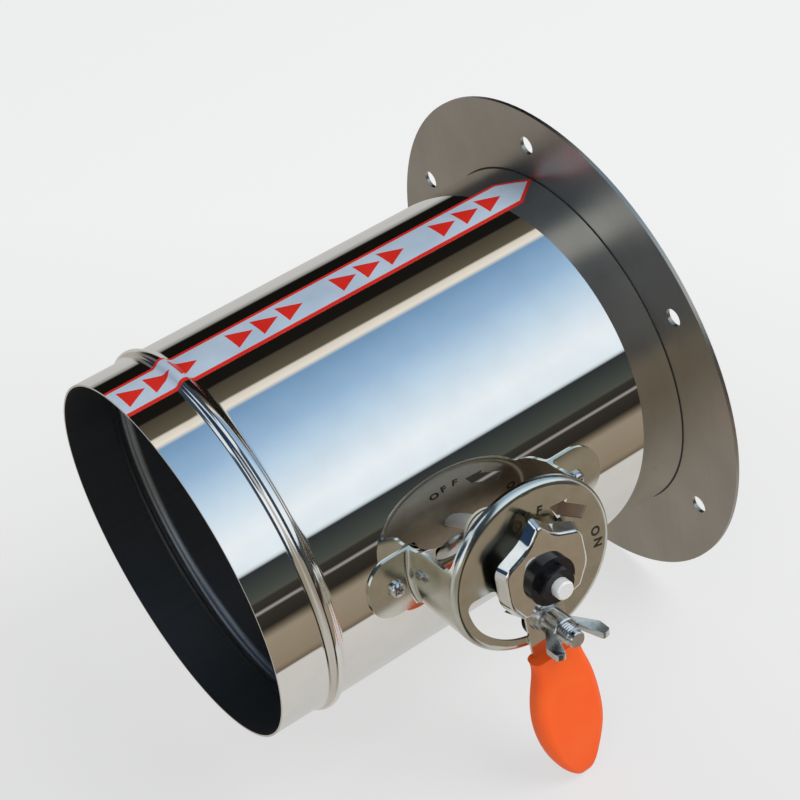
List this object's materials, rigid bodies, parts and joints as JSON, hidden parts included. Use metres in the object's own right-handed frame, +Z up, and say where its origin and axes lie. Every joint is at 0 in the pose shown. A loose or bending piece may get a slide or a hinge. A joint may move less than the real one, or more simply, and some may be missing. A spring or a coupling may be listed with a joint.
{
  "type": "manual duct damper",
  "caption": "Manual round duct damper in polished stainless steel with a bolt-on flange, a beaded open end, a slotted ON/OFF dial and an orange-gripped lever locked by a wing nut.",
  "frame": {"origin": "centre of the flange's outer face, on the duct's axis", "axes": "+X along the duct out of the flange, the way the air goes; -Y out along the handle's shaft; +Z up through the airflow label"},
  "size_m": [0.252, 0.3106, 0.28],
  "materials": {
    "mirror_steel": "mirror-polished stainless steel sheet",
    "satin_steel": "satin stainless steel",
    "bright_zinc": "bright zinc-plated steel",
    "black_steel": "black oxide steel",
    "label_film": "printed silver film",
    "orange_grip": "dipped orange vinyl sleeve",
    "bush_plastic": "moulded natural nylon"
  },
  "bodies": {
    "housing": {"duct_body": "mirror_steel", "flange_ring": "satin_steel", "airflow_label": "label_film", "dial_bracket": "mirror_steel", "foot_screws": "bright_zinc", "front_bush": "bush_plastic", "rear_bush": "bush_plastic"},
    "damper": {"shaft": "satin_steel", "rear_washer": "bright_zinc", "rear_clip": "black_steel", "blade": "satin_steel", "blade_straps": "satin_steel", "strap_screws": "bright_zinc", "strap_nuts": "bright_zinc", "lever": "mirror_steel", "grip": "orange_grip", "shaft_washer": "black_steel", "shaft_nut": "black_steel", "wing_bolt": "bright_zinc", "plain_washer": "bright_zinc"},
    "nut_washer": {"spring_washer": "bright_zinc"},
    "lock_nut": {"wing_nut": "bright_zinc"}
  },
  "joints": [
    {"name": "damper_turn", "type": "hinge", "parent": "housing", "child": "damper", "pos_m": [-0.127, 0, 0], "axis": [0, 1, 0], "range_deg": [0, 80]},
    {"name": "nut_rise", "type": "slide", "parent": "damper", "child": "nut_washer", "axis": [0, -1, 0], "range_m": [0, 0.0015]},
    {"name": "nut_turn", "type": "hinge", "parent": "nut_washer", "child": "lock_nut", "pos_m": [-0.127, 0, -0.03], "axis": [0, -1, 0], "range_deg": [0, 360]}
  ],
  "couplings": [
    {"joint": "nut_turn", "follows": "nut_rise", "rad_per_m": 4188.8}
  ]
}
